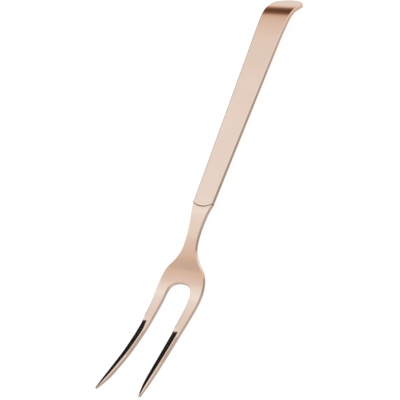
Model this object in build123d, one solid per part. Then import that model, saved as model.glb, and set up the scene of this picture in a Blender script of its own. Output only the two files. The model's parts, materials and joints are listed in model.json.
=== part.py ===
from build123d import *
import os
from math import atan2, cos, degrees, radians, sin

# A two-tine carving fork that lies on its back. The fork head is one stamped and
# formed blank with a tang. Two thin pressed shells make the hollow handle, cement
# holds the tang in it, and a thin braze line closes its mouth.
#
# Millimetres and degrees. +X runs from the tines to the handle's end, +Z is the
# front, and the handle's mouth, where it meets the neck, is the modelling origin.
# Places along the fork are distances along its front face from the mouth:
# the handle's are positive and the fork head's are counted towards the tips.

BLANK = 2.5            # thickness of the stamped fork head
HANDLE = 2.8           # thickness of the hollow handle over both shells
WALL = 0.6             # thickness of each pressed shell
BRAZE = 0.3            # width of the braze line at the mouth
PROUD = (HANDLE - BLANK) / 2

# Each course is a chain of (length, turn): straight runs and bends of the front face.
HANDLE_COURSE = [(117.5, 0), (16, -5), (12, -34), (11.7, 0)]
HEAD_COURSE = [(3, 0), (6, -8), (13, -1), (14, -8), (6, 0), (26, 29), (44, 10), (22, 0)]
HANDLE_LENGTH = sum(length for length, turn in HANDLE_COURSE)
HEAD_LENGTH = sum(length for length, turn in HEAD_COURSE)

# Half widths, as (distance from the mouth, half width)
HANDLE_EDGE = [(0, 6.75), (60, 8.05), (118, 9.45), (146, 10.6), (157, 10.75)]
HEAD_EDGE = [(10, 4.95), (20.5, 4.0), (30, 4.7), (36, 7.5), (43.5, 13.2), (54, 15.65),
             (68, 14.95), (85, 14.3), (105, 14.5), (120, 15.0), (133.2, 15.6)]
SLOT_EDGE = [(51.6, 4.8), (53.6, 7.3), (57.5, 8.55), (68, 8.95), (85, 9.15), (100, 9.7),
             (115, 11.0), (125, 12.25), (133.2, 14.0)]
SLOT_START = 50.6      # where the slot between the tines ends, towards the neck
MOUTH_BULGE = 2.2      # how far the mouth's arc reaches out towards the tines
END_RISE = 4.7         # height of the arc that rounds the handle's end

# Rounded front of the tines, as (distance, ridge below the front face, fall at the edge).
# A ridge above the face leaves the blank flat there.
CROWN = [(74, -0.40, 0.10), (79, -0.12, 0.25), (84, 0.03, 0.32), (95, 0.03, 0.34),
         (105, 0.03, 0.34), (115, 0.03, 0.32), (125, 0.03, 0.30), (138, 0.03, 0.28)]
GRIND_BACK = (122, 1.1)     # the back of each tip is ground from here, by this much
GRIND_FRONT = (126, 0.3)    # and the front from here

TANG_THICK = 1.2
TANG_HALF = (4.6, 2.6)      # half width at the mouth and at the tang's end
TANG_LENGTH = 48
REACH = 60                  # more than any half width or height


def follow(course, facing, along):
    """Point of the front face and its slope, a distance down a course."""
    x, z, slope = 0.0, 0.0, 0.0
    left = along
    for length, turn in course:
        last = (length, turn) == course[-1]
        step = left if last else min(left, length)
        bend = radians(turn) * step / length
        chord = step * (sin(bend / 2) / (bend / 2) if bend else 1)
        x += facing * chord * cos(slope + bend / 2)
        z += chord * sin(slope + bend / 2)
        slope += bend
        left -= step
        if left == 0:
            break
    return x, z, slope


def place(course, facing, along, raised=0.0):
    """A point in the XZ plane, a distance down a course and raised off the front face."""
    x, z, slope = follow(course, facing, along)
    return Vector(x - facing * raised * sin(slope), 0, z + raised * cos(slope))


def head_x(along):
    """X of the fork head's front face at a distance from the mouth."""
    return follow(HEAD_COURSE, -1, along)[0]


def handle_x(along):
    """X of the handle's front face at a distance from the mouth."""
    return follow(HANDLE_COURSE, 1, along)[0]


def strip(course, facing, start, stop, low, high):
    """A slab that follows a course between two heights off its front face."""
    marks = [start]
    for i in range(1, len(course)):
        end = sum(length for length, turn in course[:i])
        if start < end < stop:
            marks.append(end)
    marks.append(stop)
    edges = [Line(place(course, facing, s, low), place(course, facing, s, high)) for s in (start, stop)]
    for raised in (low, high):
        for a, b in zip(marks, marks[1:]):
            first, middle, last = [place(course, facing, s, raised) for s in (a, (a + b) / 2, b)]
            turned = follow(course, facing, b)[2] - follow(course, facing, a)[2]
            straight = abs(turned) < 1e-9
            edges.append(Line(first, last) if straight else ThreePointArc(first, middle, last))
    return Pos(0, -REACH, 0) * extrude(Face(Wire(edges)), amount=2 * REACH, dir=(0, 1, 0))


def column(edges):
    """An upright prism over a closed outline drawn in the XY plane."""
    return Pos(0, 0, -REACH) * extrude(Face(Wire(edges)), amount=2 * REACH, dir=(0, 0, 1))


def mouth_arc(shift, half):
    """The arc across the handle's mouth, as a plan edge shifted along X."""
    return ThreePointArc((shift, half), (shift - MOUTH_BULGE, 0), (shift, -half))


# ---- fork head -------------------------------------------------------------------------

def half_plan():
    """Plan of one half of the blank: neck, root and one tine with its round tip."""
    half = HANDLE_EDGE[0][1]
    outer = [(-BRAZE, half)] + [(head_x(s), w) for s, w in HEAD_EDGE]
    slot = [(head_x(s), w) for s, w in SLOT_EDGE]
    x_slot = head_x(SLOT_START)
    whole_slot = Spline(*(slot[::-1] + [(x_slot, 0)] + [(x, -w) for x, w in slot]))
    (x_tip, outer_tip), inner_tip = outer[-1], slot[-1][1]
    radius = (outer_tip - inner_tip) / 2
    tip = ThreePointArc((x_tip, outer_tip), (x_tip - radius, outer_tip - radius), (x_tip, inner_tip))
    mouth = mouth_arc(-BRAZE, half)
    middle = Line((x_slot, 0), (-BRAZE - MOUTH_BULGE, 0))
    return column([Spline(*outer), tip, whole_slot.trim(0, 0.5), middle, mouth.trim(0, 0.5)])


def tine_at(along):
    """Middle and half width of a tine at a distance from the mouth, between listed stations."""
    def between(table):
        for (a, low), (b, high) in zip(table, table[1:]):
            if a <= along <= b:
                return low + (high - low) * (along - a) / (b - a)
        return table[-1][1]
    outer, inner = between(HEAD_EDGE), between(SLOT_EDGE)
    return (outer + inner) / 2, (outer - inner) / 2


def crown():
    """A rod along one tine with a rounded front, wider and deeper than the tine."""
    sections = []
    for along, depth, fall in CROWN:
        middle, half = tine_at(along)
        x, z, slope = follow(HEAD_COURSE, -1, along)
        square = Plane(origin=(x, middle, z), x_dir=(0, -1, 0), z_dir=(-cos(slope), 0, sin(slope)))
        wide = half + 0.6
        edge = -depth - fall * (wide / half) ** 2
        outline = Wire([Line((-wide, -6), (wide, -6)), Line((wide, -6), (wide, edge)),
                        ThreePointArc((wide, edge), (0, -depth), (-wide, edge)),
                        Line((-wide, edge), (-wide, -6))])
        sections.append(square * Face(outline))
    return loft(sections)


def crown_cut():
    """What is ground off the front of one tine to round it."""
    x_high, x_low = [head_x(CROWN[i][0] - 2) for i in (1, -1)]
    block = Pos((x_low + x_high) / 2, tine_at(100)[0], 0) * Box(x_high - x_low, 11, 2 * REACH)
    return block - crown()


def grind(start, amount, face, away):
    """A wedge that thins both tips from a place on, growing from nothing at its start."""
    past = HEAD_LENGTH + 3
    deep = amount * (past - start) / (HEAD_LENGTH - start)
    corners = [place(HEAD_COURSE, -1, start, face), place(HEAD_COURSE, -1, past, face - away * deep),
               place(HEAD_COURSE, -1, past, face + away * 4), place(HEAD_COURSE, -1, start, face + away * 4)]
    side = Face(Wire.make_polygon(corners, close=True))
    return Pos(0, -REACH, 0) * extrude(side, amount=2 * REACH, dir=(0, 1, 0))


def tang():
    """The flat tongue behind the neck that is cemented into the handle."""
    low = -(BLANK + TANG_THICK) / 2
    flat = strip(HANDLE_COURSE, 1, -6, TANG_LENGTH, low, low + TANG_THICK)
    wide, narrow = TANG_HALF
    upper = [(-6, wide), (0, wide), (TANG_LENGTH, narrow)]
    outline = upper + [(x, -w) for x, w in reversed(upper)]
    return flat & column(Wire.make_polygon([(x, y, 0) for x, y in outline], close=True).edges())


def fork_head():
    """The stamped, formed and ground blank: tines, root, neck and tang."""
    blank = strip(HEAD_COURSE, -1, -4, HEAD_LENGTH + 2, -BLANK, 0)
    half = (blank & half_plan()) - crown_cut()
    half = half - grind(*GRIND_BACK, -BLANK, -1) - grind(*GRIND_FRONT, 0, 1)
    return half + mirror(half, Plane.XZ) + tang()


# ---- handle ----------------------------------------------------------------------------

def handle_solid(inset):
    """The handle's outer shape, or the same shape set in by a wall thickness."""
    low, high = PROUD - HANDLE + inset, PROUD - inset
    slab = strip(HANDLE_COURSE, 1, -6, HANDLE_LENGTH + 2, low, high)
    mouth, half = -2 * inset, HANDLE_EDGE[0][1] - inset
    stations = [(mouth, half)] + [(handle_x(s), w - inset) for s, w in HANDLE_EDGE[1:]]
    x_end, end_half = stations[-1]
    stations[-1] = (x_end + 3, end_half)
    upper = Spline(*stations)
    lower = Spline(*[(x, -w) for x, w in stations])
    across = Line((x_end + 3, end_half), (x_end + 3, -end_half))
    return (slab & column([upper, across, lower, mouth_arc(mouth, half)])) - end_cut(inset)


def end_cut(inset):
    """Everything beyond the arc that rounds the handle's end, square to the curled end."""
    half = HANDLE_EDGE[-1][1]
    radius = (half ** 2 + END_RISE ** 2) / (2 * END_RISE)
    x, z, slope = follow(HANDLE_COURSE, 1, HANDLE_LENGTH)
    centre = (x - radius * cos(slope), 0, z - radius * sin(slope))
    square = Plane(origin=centre, x_dir=(cos(slope), 0, sin(slope)), z_dir=(-sin(slope), 0, cos(slope)))
    corner = radius - END_RISE - 2
    block = Pos(corner + 15, 0, 0) * Box(30, 2 * REACH, 20)
    return square * (block - Cylinder(radius - inset, 20))


def half_space(course_low, course_high):
    """The part of space beside the handle between two heights off its front face."""
    return strip(HANDLE_COURSE, 1, -10, HANDLE_LENGTH + 8, course_low, course_high)


def handle_parts(head):
    """Both shells and the cement between them."""
    outer = handle_solid(0)
    cavity = handle_solid(WALL) & outer
    walls = outer - cavity
    split = PROUD - HANDLE / 2
    front = walls & half_space(split, 4)
    back = walls & half_space(-8, split)
    return front, back, cavity - head


def braze_line(head):
    """The thin filled gap round the tang, between the handle's mouth and the neck."""
    half = HANDLE_EDGE[0][1]
    slab = strip(HANDLE_COURSE, 1, -6, 2, -BLANK, 0)
    sides = [Line((0, side * half), (-BRAZE, side * half)) for side in (-1, 1)]
    return (slab & column([mouth_arc(0, half), mouth_arc(-BRAZE, half)] + sides)) - head


# ---- the whole fork, laid on its back ---------------------------------------------------

def rest(parts):
    """Tilt and lift the fork so that its belly and the curled end both touch Z = 0."""
    belly = min((place(HEAD_COURSE, -1, s / 4, -BLANK) for s in range(180, 280)), key=lambda p: p.Z)
    heel = place(HANDLE_COURSE, 1, HANDLE_LENGTH, PROUD - HANDLE)
    lean = degrees(atan2(heel.Z - belly.Z, heel.X - belly.X))
    tilted = [Rotation(0, lean, 0) * part for part in parts]
    boxes = [part.bounding_box() for part in tilted]
    x_middle = (min(box.min.X for box in boxes) + max(box.max.X for box in boxes)) / 2
    floor = min(box.min.Z for box in boxes)
    return [Pos(-x_middle, 0, -floor) * part for part in tilted]


head = fork_head()
front_shell, back_shell, cement = handle_parts(head)
braze = braze_line(head)
names = ["fork_head", "handle_front_shell", "handle_back_shell", "handle_cement", "mouth_braze"]

os.makedirs("parts", exist_ok=True)
for name, solid in zip(names, rest([head, front_shell, back_shell, cement, braze])):
    export_step(solid, "parts/" + name + ".step")
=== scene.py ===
import bpy
import json
from math import atan2, copysign, cos, hypot, pi, radians, sin, sqrt
from mathutils import Matrix, Vector


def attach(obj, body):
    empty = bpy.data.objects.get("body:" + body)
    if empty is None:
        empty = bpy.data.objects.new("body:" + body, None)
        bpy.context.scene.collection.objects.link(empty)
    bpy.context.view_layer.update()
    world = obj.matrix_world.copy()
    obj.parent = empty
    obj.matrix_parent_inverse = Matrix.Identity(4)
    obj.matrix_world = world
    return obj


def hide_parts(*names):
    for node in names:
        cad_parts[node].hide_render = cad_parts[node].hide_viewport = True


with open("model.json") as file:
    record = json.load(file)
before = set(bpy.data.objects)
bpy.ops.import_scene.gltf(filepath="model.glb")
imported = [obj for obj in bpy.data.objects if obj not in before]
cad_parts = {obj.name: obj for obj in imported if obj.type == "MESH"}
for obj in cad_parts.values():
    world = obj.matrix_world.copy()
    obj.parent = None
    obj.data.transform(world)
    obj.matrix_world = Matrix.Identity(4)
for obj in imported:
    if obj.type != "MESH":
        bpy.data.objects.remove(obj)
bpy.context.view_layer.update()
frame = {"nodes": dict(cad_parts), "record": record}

MM = 0.001

# ---- the fork's own sizes, in millimetres ------------------------------------------------
# Each piece is made flat, as its blank is, and then formed along one course. Distances along
# the course are counted from the handle's mouth, and the head's run towards the tips. Height
# nought is the front face of the blank.

BLANK = 2.5              # thickness of the stamped fork head
HANDLE = 2.8             # thickness of the hollow handle over both shells
WALL = 0.6               # thickness of each pressed shell
BRAZE = 0.3              # width of the braze line at the mouth
PROUD = (HANDLE - BLANK) / 2
TANG_THICK = 1.2
TANG_HALF = (4.6, 2.6)   # half width at the mouth and at the tang's end
TANG_LENGTH = 48
TANG_ROOT = 4            # how far the tang starts inside the neck

# Each course is a chain of (length, turn): straight runs and bends of the front face.
HANDLE_COURSE = [(117.5, 0), (16, -5), (12, -34), (11.7, 0)]
HEAD_COURSE = [(3, 0), (6, -8), (13, -1), (14, -8), (6, 0), (26, 29), (44, 10), (22, 0)]
HANDLE_LENGTH = sum(length for length, turn in HANDLE_COURSE)
HEAD_LENGTH = sum(length for length, turn in HEAD_COURSE)
SPARE = 8                # straight course left over past either end
CURVE_STEP = 2

MOUTH_BULGE = 2.2        # how far the mouth's arc reaches out towards the tines
END_RISE = 4.7           # height of the arc that rounds the handle's end

# Half widths, as (distance from the mouth, half width). The slot's round end is SLOT_TURN, its
# sides are SLOT_EDGE, and the last rows of a tip are given by their distance and both their ends.
HANDLE_EDGE = [(0, 6.75), (60, 8.05), (118, 9.45), (146, 10.6), (157, 10.75)]
HEAD_EDGE = [(0, 6.75), (10, 4.95), (20.5, 4.0), (30, 4.7), (36, 7.5), (43.5, 13.2), (54, 15.6),
             (68, 14.95), (85, 14.3), (105, 14.5), (120, 15.0), (133.2, 15.6)]
SLOT_START = 50.6        # where the slot between the tines ends, towards the neck
SLOT_TURN = [(50.8, 1.8), (51.1, 3.4), (51.7, 5.0), (52.6, 6.4), (53.8, 7.4), (55.5, 8.1), (57.5, 8.5)]
SLOT_EDGE = [(57.5, 8.5), (68, 8.95), (85, 9.15), (100, 9.7), (115, 11.0), (125, 12.25), (133.2, 14.0)]
TIP = [(132.2, 13.85, 15.58), (133.0, 14.05, 15.58), (133.5, 14.3, 15.5)]

CROWN_START = 80         # the front of the tines is ground from here, on the centre line
CROWN_SLANT = 0.2        # and the line that the grinding starts on slants by this much
CROWN_FALL = (0.5, 0.36)  # how far a tine's front falls from its crest to its two edges
CREST_SHIFT = 0.26       # how far the crest is off the tine's middle, as a share of its width
CREST_FIRST = 0.4        # the share of that shift that it starts with
CREST_GROWS = 8          # and how far along it has the whole of it
NEAR_MIDDLE = 0.2        # a point this near a tine's middle, as a share of its width, is on the crest
GRIND_BACK = (122, 1.1)  # the back of each tip is ground from here, by this much
GRIND_FRONT = (126, 0.3)  # and the front of each from here
EDGE_ROUND = 0.32        # how round the head's edges are
TIP_ROUND = 0.45         # the share of that rounding that the slim tips keep
SLIM = 108               # where the tines turn slim
FOLD = 0.65              # outside radius of the shells' folds
SHELL_ROUND = 0.1        # how round the shells' bare edges are

ROW = 2.1                # spacing of the rows that a blank is laid out in
TANG_ROW = 4.3
ROOT_LEAN = 4.2          # how far the rows lean towards the neck at the tines' root
ROOT_LEAN_START = 30
HEAD_ARC = 1.1           # smoothing flattens an arc, so each is laid out fuller by these shares
SHELL_ARC = 1.025
ARC_REACH = 9            # how far from an end its arc still bends the rows
END_REACH = 14

grip = next(m for m in frame["record"]["mounts"] if m["name"] == "handle_front")
GRIP_ALONG = 60          # the grip mount is on the handle's front, this far from its mouth


def follow(course, facing, along):
    """Point of the front face, a distance down a course from the mouth."""
    x, z, slope = 0.0, 0.0, 0.0
    left = along
    for length, turn in course:
        step = min(left, length)
        bend = radians(turn) * step / length
        chord = step * (sin(bend / 2) / (bend / 2) if bend else 1)
        x += facing * chord * cos(slope + bend / 2)
        z += chord * sin(slope + bend / 2)
        slope += bend
        left -= step
    return x + facing * left * cos(slope), z + left * sin(slope)


def course_place(along):
    """Where the front face is in the object's frame, in metres; towards the tips is negative."""
    x, z = follow(HEAD_COURSE, -1, -along) if along < 0 else follow(HANDLE_COURSE, 1, along)
    lean, upright = -grip["axis"][0], grip["axis"][2]
    x, z = (x - GRIP_ALONG) * MM, (z - PROUD) * MM
    return grip["pos_m"][0] + x * upright - z * lean, grip["pos_m"][2] + x * lean + z * upright


def half_at(table, along):
    """A half width that flows smoothly through a table of (distance, half width)."""
    last = len(table) - 1
    i = next((k for k in range(last) if along <= table[k + 1][0]), last - 1)
    (a, low), (b, high) = table[i], table[i + 1]
    slopes = []
    for k in (i, i + 1):
        before, after = table[max(k - 1, 0)], table[min(k + 1, last)]
        slopes.append((after[1] - before[1]) / (after[0] - before[0]))
    run, t = b - a, (along - a) / (b - a)
    return ((2 * t ** 3 - 3 * t ** 2 + 1) * low + (t ** 3 - 2 * t ** 2 + t) * run * slopes[0]
            + (3 * t ** 2 - 2 * t ** 3) * high + (t ** 3 - t ** 2) * run * slopes[1])


def marks(first, last, spacing):
    """Even distances from first to last, about a spacing apart."""
    count = round((last - first) / spacing)
    return [first + (last - first) * k / count for k in range(count + 1)]


# ---- working by hand --------------------------------------------------------------------

def pick(choose, kind="VERT"):
    """Selects the vertices, edges or faces of the piece in hand that a test chooses."""
    bpy.ops.mesh.select_mode(type=kind)
    bpy.ops.mesh.select_all(action="DESELECT")
    bpy.ops.object.mode_set(mode="OBJECT")
    mesh = bpy.context.object.data
    items = {"VERT": mesh.vertices, "EDGE": mesh.edges, "FACE": mesh.polygons}[kind]
    for item in items:
        item.select = bool(choose(item))
    bpy.ops.object.mode_set(mode="EDIT")


def slide(x=0.0, y=0.0, z=0.0):
    """Moves what is picked, in millimetres."""
    bpy.ops.transform.translate(value=(x * MM, y * MM, z * MM))


def lay_sheet(name, rows, columns):
    """A flat sheet of rows, each laid from its inner point to its outer one, in millimetres."""
    bpy.ops.object.select_all(action="DESELECT")
    bpy.ops.mesh.primitive_grid_add(x_subdivisions=len(rows) - 1, y_subdivisions=columns, size=1,
                                    location=(0, 0, 0))
    piece = bpy.context.object
    piece.name = piece.data.name = name
    spots = [v.co.x for v in piece.data.vertices]
    lines = sorted({round(x, 5) for x in spots})
    rows_of = [round((x + 0.5) * (len(lines) - 1)) for x in spots]
    bpy.ops.object.mode_set(mode="EDIT")
    for number, (line, (inner, outer)) in enumerate(zip(lines, rows)):
        pick(lambda v: rows_of[v.index] == number)
        start = (inner[0] * MM, inner[1] * MM, 0)
        run, rise = outer[0] - inner[0], outer[1] - inner[1]
        slide(inner[0] - line / MM, inner[1] + 0.5 / MM)
        bpy.ops.transform.resize(value=(1, hypot(run, rise) * MM, 1), center_override=start)
        bpy.ops.transform.rotate(value=atan2(run, rise), orient_axis="Z", center_override=start)
    return piece


def bow(table, at, reach, rise):
    """Bulges the rows near one end into an arc, less and less over a reach from that end."""
    bpy.ops.object.mode_set(mode="OBJECT")
    spots = [v.co / MM for v in bpy.context.object.data.vertices]
    bpy.ops.object.mode_set(mode="EDIT")
    half = half_at(table, abs(at))
    radius = (half ** 2 + rise ** 2) / (2 * abs(rise))
    for index, spot in enumerate(spots):
        nearness = 1 - abs(spot.x - at) / reach
        if nearness > 0:
            across = half * min(1, spot.y / half_at(table, abs(spot.x)))
            height = sqrt(radius ** 2 - across ** 2) - radius + abs(rise)
            pick(lambda v: v.index == index)
            slide(x=copysign(height, rise) * nearness)


def apply(kind, **settings):
    """Adds a modifier to the piece in hand, sets it and applies it."""
    bpy.ops.object.mode_set(mode="OBJECT")
    bpy.ops.object.modifier_add(type=kind)
    modifier = bpy.context.object.modifiers[-1]
    for key, value in settings.items():
        setattr(modifier, key, value)
    bpy.ops.object.modifier_apply(modifier=modifier.name)
    bpy.ops.object.mode_set(mode="EDIT")


def mirror_half():
    """Makes the other half of a blank across its centre line."""
    apply("MIRROR", use_axis=(False, True, False), merge_threshold=0.02 * MM)


def face_out():
    """Turns every face of the piece in hand outwards."""
    bpy.ops.mesh.select_all(action="SELECT")
    bpy.ops.mesh.normals_make_consistent(inside=False)


def sharpen():
    """Keeps the piece's sharp edges through the smoothing."""
    bpy.ops.mesh.select_mode(type="EDGE")
    bpy.ops.mesh.select_all(action="DESELECT")
    bpy.ops.mesh.edges_select_sharp(sharpness=radians(50))
    bpy.ops.transform.edge_crease(value=1)


def weigh_sharp(choose, weight):
    """Adds to the bevel weight of the sharp edges that a test chooses."""
    bpy.ops.mesh.select_mode(type="EDGE")
    bpy.ops.mesh.select_all(action="DESELECT")
    bpy.ops.mesh.edges_select_sharp(sharpness=radians(40))
    bpy.ops.object.mode_set(mode="OBJECT")
    mesh = bpy.context.object.data
    sharp = [edge.select and choose(mesh.vertices[edge.vertices[0]].co / MM) for edge in mesh.edges]
    bpy.ops.object.mode_set(mode="EDIT")
    pick(lambda edge: sharp[edge.index], "EDGE")
    bpy.ops.transform.edge_bevelweight(value=weight)


def smooth_and_round(levels, round_by):
    """Smooths a coarse piece between its sharp edges, and rounds those, less along the slim tips."""
    face_out()
    sharpen()
    apply("SUBSURF", levels=levels, render_levels=levels)
    weigh_sharp(lambda spot: True, 1)
    weigh_sharp(lambda spot: spot.x < -SLIM, TIP_ROUND - 1)
    apply("BEVEL", width=round_by * MM, segments=3, limit_method="WEIGHT", use_clamp_overlap=False)


def course_curve():
    """The line that every piece is formed along, from past the tips to past the handle's end."""
    bpy.ops.object.select_all(action="DESELECT")
    bpy.ops.curve.primitive_nurbs_path_add(location=(0, 0, 0))
    curve = bpy.context.object
    curve.name = "course"
    start, end = -HEAD_LENGTH - SPARE, HANDLE_LENGTH + SPARE
    places = marks(start, end, CURVE_STEP)
    spline = curve.data.splines[0]
    spline.points.add(len(places) - len(spline.points))
    for along, point in zip(places, spline.points):
        x, z = course_place(along)
        point.co = (x, 0, z, 1)
    spline.order_u = 4
    spline.use_endpoint_u = True
    curve.data.resolution_u = 8
    curve.data.twist_mode = "Z_UP"
    return curve


def form(piece, material, *nodes):
    """Forms a flat piece along the course, and puts it in its CAD nodes' place."""
    bpy.ops.mesh.select_all(action="SELECT")
    slide(x=HEAD_LENGTH + SPARE)
    apply("CURVE", object=course, deform_axis="POS_X")
    bpy.ops.object.mode_set(mode="OBJECT")
    bpy.ops.object.shade_smooth()
    apply("WEIGHTED_NORMAL", keep_sharp=True)
    bpy.ops.object.mode_set(mode="OBJECT")
    dress(piece, material)
    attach(piece, "root")
    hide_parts(*nodes)


# ---- fork head --------------------------------------------------------------------------

def head_rows():
    """The rows of one half of the blank, from the tip to the mouth."""
    rows = []
    for inner in marks(BRAZE, SLOT_START, ROW):
        lean = ROOT_LEAN * max(0, (inner - ROOT_LEAN_START) / (SLOT_START - ROOT_LEAN_START)) ** 2
        rows.append(((-inner, 0), (lean - inner, half_at(HEAD_EDGE, inner - lean))))
    turned = SLOT_TURN[-1][0]
    step = (turned + 0.5 - SLOT_START + ROOT_LEAN) / len(SLOT_TURN)
    for k, (x, y) in enumerate(SLOT_TURN, 1):
        outer = SLOT_START - ROOT_LEAN + k * step
        rows.append(((-x, y), (-outer, half_at(HEAD_EDGE, outer))))
    for along in marks(turned + ROW, TIP[0][0] - ROW / 2, ROW):
        rows.append(((-along, half_at(SLOT_EDGE, along)), (-along, half_at(HEAD_EDGE, along))))
    for along, inner, outer in TIP:
        rows.append(((-along, inner), (-along, outer)))
    return rows[::-1]


def crown_tines():
    """Grinds the front of each tine to a low ridge, with its crest to one side."""
    bpy.ops.object.mode_set(mode="OBJECT")
    spots = [v.co / MM for v in bpy.context.object.data.vertices]
    bpy.ops.object.mode_set(mode="EDIT")

    def across(v):
        """How far across its tine a vertex is from the middle, or nothing where there is no grinding."""
        spot = spots[v.index]
        if -spot.x < CROWN_START - CROWN_SLANT * spot.y:
            return None
        inner, outer = half_at(SLOT_EDGE, -spot.x), half_at(HEAD_EDGE, -spot.x)
        return (copysign((inner + outer) / 2, spot.y) - spot.y) / (outer - inner)

    def crest(v):
        """Whether a vertex is on the crest."""
        return across(v) is not None and abs(across(v)) < NEAR_MIDDLE

    for line in sorted({round(spot.x, 2) for spot in spots if -spot.x > SLOT_TURN[-1][0]}):
        pick(lambda v: crest(v) and abs(spots[v.index].x - line) < 0.02)
        grown = min(1, CREST_FIRST + (-line - CROWN_START) / CREST_GROWS)
        slide(y=-CREST_SHIFT * grown * (half_at(HEAD_EDGE, -line) - half_at(SLOT_EDGE, -line)))
    pick(lambda v: across(v) is not None and across(v) < -NEAR_MIDDLE)
    slide(z=-CROWN_FALL[0])
    pick(lambda v: across(v) is not None and across(v) > NEAR_MIDDLE)
    slide(z=-CROWN_FALL[1])
    pick(lambda e: all(crest(bpy.context.object.data.vertices[i]) for i in e.vertices), "EDGE")
    bpy.ops.transform.edge_crease(value=1)
    bpy.ops.mesh.mark_sharp()


def grind_tips(start, amount, on_face):
    """Thins the tips from a place on, growing from nothing at its start, on the face that a test names."""
    bpy.ops.object.mode_set(mode="OBJECT")
    spots = [v.co / MM for v in bpy.context.object.data.vertices]
    bpy.ops.object.mode_set(mode="EDIT")
    for line in sorted({round(spot.x, 3) for spot in spots if -spot.x > start}):
        pick(lambda v: abs(spots[v.index].x - line) < 0.01 and on_face(spots[v.index].z))
        slide(z=amount * (-line - start) / (HEAD_LENGTH - start))


def fork_head(metal):
    """The head: one blank, stamped, crowned along the tines, ground at the tips and formed."""
    piece = lay_sheet("fork_head_blank", head_rows(), 2)
    bow(HEAD_EDGE, -BRAZE, ARC_REACH, -HEAD_ARC * MOUTH_BULGE)
    mirror_half()
    crown_tines()
    bpy.ops.mesh.select_all(action="SELECT")
    bpy.ops.mesh.extrude_region_move(TRANSFORM_OT_translate={"value": (0, 0, -BLANK * MM)})
    bpy.ops.transform.resize(value=(1, 1, 0), center_override=(0, 0, -BLANK * MM))
    grind_tips(GRIND_BACK[0], GRIND_BACK[1], lambda z: z < -BLANK / 2)
    grind_tips(GRIND_FRONT[0], -GRIND_FRONT[1], lambda z: z > -BLANK / 2)
    smooth_and_round(2, EDGE_ROUND)
    form(piece, metal, "fork_head")


def tang(metal):
    """The flat tongue behind the neck, which the cement holds inside the handle."""
    wide, narrow = TANG_HALF
    rows = []
    for along in marks(-TANG_ROOT, TANG_LENGTH, TANG_ROW):
        half = wide + (narrow - wide) * max(0, along) / TANG_LENGTH
        rows.append(((along, 0), (along, half)))
    piece = lay_sheet("tang", rows, 2)
    mirror_half()
    bpy.ops.mesh.select_all(action="SELECT")
    slide(z=-(BLANK - TANG_THICK) / 2)
    bpy.ops.mesh.extrude_region_move(TRANSFORM_OT_translate={"value": (0, 0, -TANG_THICK * MM)})
    smooth_and_round(1, EDGE_ROUND)
    form(piece, metal, "fork_head")


# ---- handle -----------------------------------------------------------------------------

def shell_plate():
    """The flat plate of one shell, with the mouth's arc at one end and the round end at the other."""
    last = HANDLE_LENGTH - END_RISE
    rows = [((along, 0), (along, half_at(HANDLE_EDGE, along))) for along in marks(0, last, ROW)]
    piece = lay_sheet("handle_front", rows, 4)
    bow(HANDLE_EDGE, 0, ARC_REACH, -SHELL_ARC * MOUTH_BULGE)
    bow(HANDLE_EDGE, last, END_REACH, SHELL_ARC * END_RISE)
    mirror_half()
    bpy.ops.mesh.select_all(action="SELECT")
    slide(z=PROUD)
    return piece


def fold_walls():
    """Folds walls down along the plate's sides and its far end, and leaves the mouth open."""
    def is_rim(edge):
        """Whether an edge is on the plate's rim and not in its mouth."""
        mesh = bpy.context.object.data
        ends = [mesh.vertices[i].co / MM for i in edge.vertices]
        return rim[edge.index] and max(spot.x for spot in ends) > 0.01

    bpy.ops.mesh.select_mode(type="EDGE")
    bpy.ops.mesh.select_all(action="DESELECT")
    bpy.ops.mesh.select_non_manifold(use_wire=False, use_multi_face=False, use_non_contiguous=False,
                                     use_verts=False)
    bpy.ops.object.mode_set(mode="OBJECT")
    rim = [edge.select for edge in bpy.context.object.data.edges]
    bpy.ops.object.mode_set(mode="EDIT")
    pick(is_rim, "EDGE")
    bpy.ops.mesh.extrude_edges_move(TRANSFORM_OT_translate={"value": (0, 0, -HANDLE / 2 * MM)})


def pick_folds():
    """Keeps only the folds picked: the edges between the plate and its walls."""
    bpy.ops.object.mode_set(mode="OBJECT")
    mesh = bpy.context.object.data
    for edge in mesh.edges:
        level = all(abs(mesh.vertices[i].co.z / MM - PROUD) < 0.01 for i in edge.vertices)
        edge.select = edge.select and level
    bpy.ops.object.mode_set(mode="EDIT")


def handle_shells(metal):
    """Two pressed shells, each a plate with its walls folded, that meet halfway through the handle."""
    front = shell_plate()
    fold_walls()
    bpy.ops.mesh.select_mode(type="EDGE")
    bpy.ops.mesh.select_all(action="DESELECT")
    bpy.ops.mesh.edges_select_sharp(sharpness=radians(80))
    pick_folds()
    bpy.ops.mesh.bevel(offset=FOLD * MM, segments=4, affect="EDGES", clamp_overlap=False)
    face_out()
    apply("SOLIDIFY", thickness=WALL * MM, offset=-1, use_even_offset=True)
    smooth_and_round(2, SHELL_ROUND)
    bpy.ops.object.mode_set(mode="OBJECT")
    bpy.ops.object.duplicate()
    back = bpy.context.object
    back.name = back.data.name = "handle_back"
    bpy.ops.object.mode_set(mode="EDIT")
    bpy.ops.mesh.select_all(action="SELECT")
    bpy.ops.transform.resize(value=(1, 1, -1), center_override=(0, 0, (PROUD - HANDLE / 2) * MM))
    face_out()
    form(back, metal, "handle_back_shell")
    bpy.ops.object.select_all(action="DESELECT")
    front.select_set(True)
    bpy.context.view_layer.objects.active = front
    bpy.ops.object.mode_set(mode="EDIT")
    form(front, metal, "handle_front_shell")


# ---- finishes ---------------------------------------------------------------------------

def finish(name, **sockets):
    """A new material with one shader, and the shader's plain settings."""
    material = bpy.data.materials.new(name)
    material.use_nodes = True
    shader = material.node_tree.nodes["Principled BSDF"]
    for socket, value in sockets.items():
        shader.inputs[socket.replace("_", " ")].default_value = value
    return material


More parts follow.
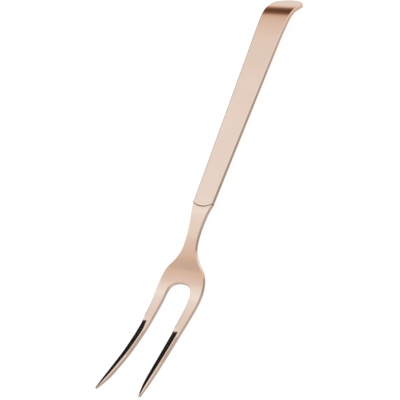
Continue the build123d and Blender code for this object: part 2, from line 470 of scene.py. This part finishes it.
def node(material, kind, **settings):
    """Adds a node and sets its properties and its numbered or named inputs."""
    made = material.node_tree.nodes.new(kind)
    for key, value in settings.items():
        if hasattr(made, key):
            setattr(made, key, value)
        else:
            made.inputs[key.replace("_", " ")].default_value = value
    return made


def link(material, source, output, target, socket):
    """Joins a node's output to another node's input."""
    material.node_tree.links.new(source.outputs[output], target.inputs[socket])


def grain(material, stretch, scale, detail):
    """Noise on the piece's own coordinates, drawn out along it by a stretch."""
    place = node(material, "ShaderNodeTexCoord")
    mapping = node(material, "ShaderNodeMapping", Scale=stretch)
    noise = node(material, "ShaderNodeTexNoise", Scale=scale, Detail=detail)
    link(material, place, "Object", mapping, "Vector")
    link(material, mapping, "Vector", noise, "Vector")
    return noise


def spread(material, source, output, low, high, start=0.35, end=0.65):
    """A number that goes from low to high as a node's output goes from start to end."""
    made = node(material, "ShaderNodeMapRange")
    for key, value in (("From Min", start), ("From Max", end), ("To Min", low), ("To Max", high)):
        made.inputs[key].default_value = value
    link(material, source, output, made, "Value")
    return made


def tints(material, source, output, stops):
    """A colour for a node's output, from (place, colour) stops."""
    ramp = node(material, "ShaderNodeValToRGB")
    elements = ramp.color_ramp.elements
    while len(elements) < len(stops):
        elements.new(0.5)
    for element, (place, colour) in zip(elements, stops):
        element.position, element.color = place, (*colour, 1)
    link(material, source, output, ramp, "Fac")
    return ramp


def rose_copper():
    """Polished rose-copper plating: soft clouds of colour and faint polishing lines."""
    material = finish("rose_copper", Metallic=1.0)
    shader = material.node_tree.nodes["Principled BSDF"]
    clouds = grain(material, (1, 1, 1), 45, 3)
    colour = tints(material, clouds, "Fac", [(0.3, (0.885, 0.640, 0.525)), (0.7, (0.915, 0.680, 0.570))])
    link(material, colour, "Color", shader, "Base Color")
    polish = grain(material, (0.03, 1, 1), 2600, 4)
    gloss = spread(material, polish, "Fac", 0.07, 0.12)
    link(material, gloss, "Result", shader, "Roughness")
    bump = node(material, "ShaderNodeBump", Strength=0.035, Distance=0.00005)
    link(material, polish, "Fac", bump, "Height")
    link(material, bump, "Normal", shader, "Normal")
    return material


def braze_metal():
    """Tarnished braze: dark, dull and uneven along the joint."""
    material = finish("darkened_braze", Metallic=1.0)
    shader = material.node_tree.nodes["Principled BSDF"]
    mottle = grain(material, (1, 1, 1), 1500, 4)
    colour = tints(material, mottle, "Fac", [(0.3, (0.24, 0.15, 0.11)), (0.75, (0.42, 0.29, 0.22))])
    link(material, colour, "Color", shader, "Base Color")
    dull = spread(material, mottle, "Fac", 0.4, 0.65)
    link(material, dull, "Result", shader, "Roughness")
    return material


def resin():
    """Grey handle cement: fine sand in a dull resin."""
    material = finish("handle_resin", Metallic=0.0)
    shader = material.node_tree.nodes["Principled BSDF"]
    sand = grain(material, (1, 1, 1), 2200, 5)
    colour = tints(material, sand, "Fac", [(0.35, (0.23, 0.22, 0.20)), (0.65, (0.34, 0.32, 0.29))])
    link(material, colour, "Color", shader, "Base Color")
    dull = spread(material, sand, "Fac", 0.6, 0.85)
    link(material, dull, "Result", shader, "Roughness")
    return material


def dress(piece, material):
    """Gives a piece one material all over."""
    piece.data.materials.clear()
    piece.data.materials.append(material)


# ---- studio ------------------------------------------------------------------------------

# The tent's sizes are in metres and its directions in degrees. Its soft dark doorway has a bearing
# and a height, and each unlit opening has those, an inner and an outer radius, and the light left
# in it. The cloth's light is given by the turn away from the doorway.

TENT_RADIUS = 0.62
DOORWAY = (21, 16.4)
OPENINGS = [((57, 15), 14.5, 18, 0.02),
            ((67, -14), 14, 22, 0.15)]
TENT = [(5, (0.13, 0.07, 0.04)),
        (12, (0.25, 0.15, 0.10)),
        (19, (0.67, 0.55, 0.45)),
        (24, (0.78, 0.72, 0.66)),
        (32, (0.84, 0.89, 0.89)),
        (40, (0.87, 0.96, 1.00)),
        (44, (0.88, 0.97, 1.00)),
        (52, (0.95, 1.09, 1.16)),
        (62, (0.88, 0.98, 1.00)),
        (66, (0.82, 0.82, 0.80)),
        (78, (0.73, 0.66, 0.58)),
        (84, (0.43, 0.40, 0.38)),
        (97, (0.40, 0.39, 0.38)),
        (106, (0.56, 0.57, 0.57)),
        (120, (0.50, 0.50, 0.50)),
        (170, (0.85, 0.90, 0.95))]

FLOOR_RADIUS = 4.0
LAMP_HEIGHT = 1.6
LAMP_SIZE = 2.4

LENS = 156.0
CAMERA_PLACE = (-0.3914, -0.5473, 0.8012)
CAMERA_RIGHT = (0.3397, -0.8405, -0.4220)
CAMERA_BACK = (-0.3681, -0.5318, 0.7627)


def turn_from(material, unit, place):
    """The angle between a direction and a (bearing, height), as a share of a half turn."""
    bearing, height = radians(place[0]), radians(place[1])
    dot = node(material, "ShaderNodeVectorMath", operation="DOT_PRODUCT")
    dot.inputs[1].default_value = (cos(height) * cos(bearing), cos(height) * sin(bearing), sin(height))
    angle = node(material, "ShaderNodeMath", operation="ARCCOSINE")
    share = node(material, "ShaderNodeMath", operation="DIVIDE")
    share.inputs[1].default_value = pi
    link(material, unit, "Vector", dot, 0)
    link(material, dot, "Value", angle, 0)
    link(material, angle, "Value", share, 0)
    return share


def tent_cloth():
    """Lit cloth, brighter and dimmer by the turn away from the doorway, and dark in the openings."""
    material = finish("tent_cloth", Base_Color=(0, 0, 0, 1), Specular_IOR_Level=0, Emission_Strength=1)
    coordinates = node(material, "ShaderNodeTexCoord")
    unit = node(material, "ShaderNodeVectorMath", operation="NORMALIZE")
    link(material, coordinates, "Object", unit, 0)
    stops = [(turn / 180, colour) for turn, colour in TENT]
    light = tints(material, turn_from(material, unit, DOORWAY), "Value", stops)
    output = "Color"
    for place, inner, outer, left in OPENINGS:
        turn = turn_from(material, unit, place)
        shade = spread(material, turn, "Value", left, 1, inner / 180, outer / 180)
        dim = node(material, "ShaderNodeVectorMath", operation="SCALE")
        link(material, light, output, dim, 0)
        link(material, shade, "Result", dim, "Scale")
        light, output = dim, "Vector"
    link(material, light, output, material.node_tree.nodes["Principled BSDF"], "Emission Color")
    material.cycles.emission_sampling = "NONE"
    return material


def light_tent():
    """A round tent about the fork for the metal to mirror, which itself stays out of sight."""
    bpy.ops.object.select_all(action="DESELECT")
    bpy.ops.mesh.primitive_uv_sphere_add(segments=96, ring_count=48, radius=TENT_RADIUS, location=(0, 0, 0))
    tent = bpy.context.object
    tent.name = "light_tent"
    bpy.ops.object.mode_set(mode="EDIT")
    bpy.ops.mesh.select_all(action="SELECT")
    bpy.ops.mesh.flip_normals()
    bpy.ops.object.mode_set(mode="OBJECT")
    bpy.ops.object.shade_smooth()
    dress(tent, tent_cloth())
    tent.visible_camera = False
    tent.visible_diffuse = False
    tent.visible_shadow = False


def room():
    """Plain white surroundings."""
    world = bpy.data.worlds.new("white_room")
    bpy.context.scene.world = world
    world.use_nodes = True
    world.node_tree.nodes["Background"].inputs["Color"].default_value = (1, 1, 1, 1)


def floor_and_lamp():
    """A white floor under the fork, and one broad soft lamp over it."""
    bpy.ops.object.select_all(action="DESELECT")
    bpy.ops.mesh.primitive_circle_add(vertices=96, radius=FLOOR_RADIUS, fill_type="NGON",
                                      location=(0, 0, 0))
    floor = bpy.context.object
    floor.name = "floor"
    paper = finish("lit_white_floor", Roughness=0.9, Emission_Strength=0.93)
    shader = paper.node_tree.nodes["Principled BSDF"]
    shader.inputs["Emission Color"].default_value = (1, 1, 1, 1)
    fibre = grain(paper, (1, 1, 1), 30, 2)
    colour = tints(paper, fibre, "Fac", [(0.3, (0.070, 0.070, 0.070)), (0.7, (0.074, 0.074, 0.074))])
    link(paper, colour, "Color", shader, "Base Color")
    dress(floor, paper)
    floor.visible_glossy = False
    bpy.ops.object.light_add(type="AREA", location=(0, 0, LAMP_HEIGHT))
    lamp = bpy.context.object
    lamp.name = "overhead_lamp"
    lamp.data.shape = "DISK"
    lamp.data.size = LAMP_SIZE
    lamp.data.energy = 30
    lamp.visible_glossy = False


def camera():
    """The camera looks down on the fork from beside its tines, with the handle's end uppermost."""
    sight = bpy.data.cameras.new("camera")
    body = bpy.data.objects.new("camera", sight)
    bpy.context.scene.collection.objects.link(body)
    sight.sensor_width = 36
    sight.lens = LENS
    sight.clip_start, sight.clip_end = 0.05, 20
    right, back = Vector(CAMERA_RIGHT).normalized(), Vector(CAMERA_BACK).normalized()
    up = back.cross(right).normalized()
    body.matrix_world = Matrix((right, up, back)).transposed().to_4x4()
    body.location = CAMERA_PLACE
    bpy.context.scene.camera = body


# ---- the whole fork ---------------------------------------------------------------------

course = course_curve()
copper = rose_copper()
fork_head(copper)
tang(copper)
handle_shells(copper)
bpy.data.objects.remove(course)
dress(frame["nodes"]["handle_cement"], resin())
dress(frame["nodes"]["mouth_braze"], braze_metal())

bpy.context.scene.view_settings.view_transform = "Standard"
room()
light_tent()
floor_and_lamp()
camera()
